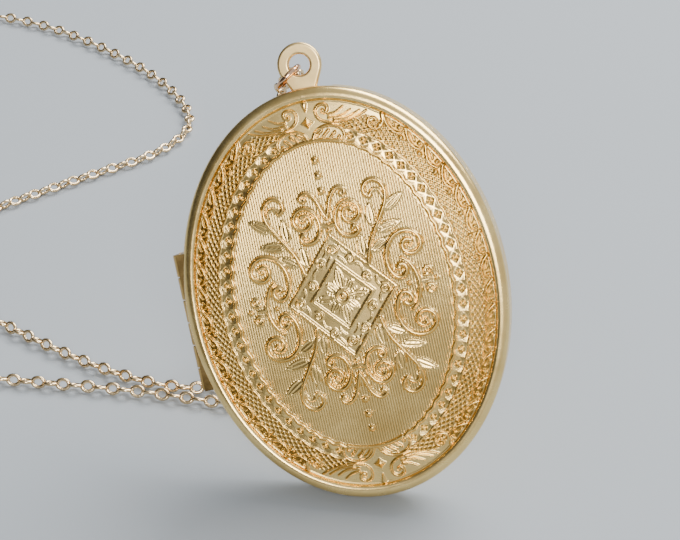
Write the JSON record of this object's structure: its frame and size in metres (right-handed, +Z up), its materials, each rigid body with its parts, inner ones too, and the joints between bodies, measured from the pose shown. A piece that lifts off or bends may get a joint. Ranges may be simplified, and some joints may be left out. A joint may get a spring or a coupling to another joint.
{
  "type": "oval hinged locket",
  "caption": "Oval hinged locket with a stamped relief cover, teardrop bail, jump ring, photo frames inside and a cable-chain necklace lying behind it.",
  "frame": {"origin": "centre of the bottom of the standing locket's own box, on the table under it", "axes": "+Z up from the table, +X to the locket's right seen from the front, -Y towards the front, where the decorated cover faces; the locket leans back 25 degrees and its top is rolled 16 degrees towards -X"},
  "size_m": [0.1159, 0.1204, 0.0491],
  "materials": {
    "rim_gold": "polished",
    "relief_gold": "satin, stamped relief",
    "bail_gold": "satin",
    "hinge_gold": "satin",
    "frame_gold": "polished",
    "ring_gold": "polished",
    "chain_gold": "polished",
    "clasp_gold": "polished",
    "window_clear": "clear",
    "card_cream": "matte"
  },
  "bodies": {
    "case_back": {"back_rim": "rim_gold", "closing_lip": "rim_gold", "back_panel": "relief_gold", "bail_tab": "bail_gold", "back_hinge_leaf": "hinge_gold", "hinge_pin": "hinge_gold", "hinge_knuckle_1": "hinge_gold", "hinge_knuckle_3": "hinge_gold", "hinge_knuckle_5": "hinge_gold", "back_frame": "frame_gold", "clasp_ring": "ring_gold", "end_ring": "ring_gold", "chain_clasp_strand": "chain_gold", "chain_ring_strand": "chain_gold", "clasp_body": "clasp_gold", "clasp_pin": "clasp_gold", "back_window": "window_clear", "back_photo_card": "card_cream"},
    "cover": {"front_rim": "rim_gold", "front_panel": "relief_gold", "front_frame": "frame_gold", "front_window": "window_clear", "front_photo_card": "card_cream", "front_hinge_leaf": "hinge_gold", "hinge_knuckle_2": "hinge_gold", "hinge_knuckle_4": "hinge_gold", "hinge_knuckle_6": "hinge_gold"},
    "jump_ring": {"jump_ring": "ring_gold", "end_link_left": "chain_gold", "end_link_right": "chain_gold"},
    "clasp_lever": {"clasp_lever": "clasp_gold"}
  },
  "joints": [
    {"name": "cover_hinge", "type": "hinge", "parent": "case_back", "child": "cover", "pos_m": [-0.01757, -0.00301, 0.01826], "axis": [0.2756, -0.4062, -0.8712], "range_deg": [0, 150]},
    {"name": "jump_ring_swing", "type": "hinge", "parent": "case_back", "child": "jump_ring", "pos_m": [-0.00804, 0.01061, 0.04525], "axis": [-0.766, 0.2717, 0.5826], "range_deg": [-20, 20]},
    {"name": "clasp_lever_pivot", "type": "hinge", "parent": "case_back", "child": "clasp_lever", "pos_m": [-0.08969, 0.0307, 0.0008], "axis": [0, 0, -1], "range_deg": [0, 20], "stiffness_Nm_per_rad": 0.00002, "springref_deg": -20.05}
  ]
}
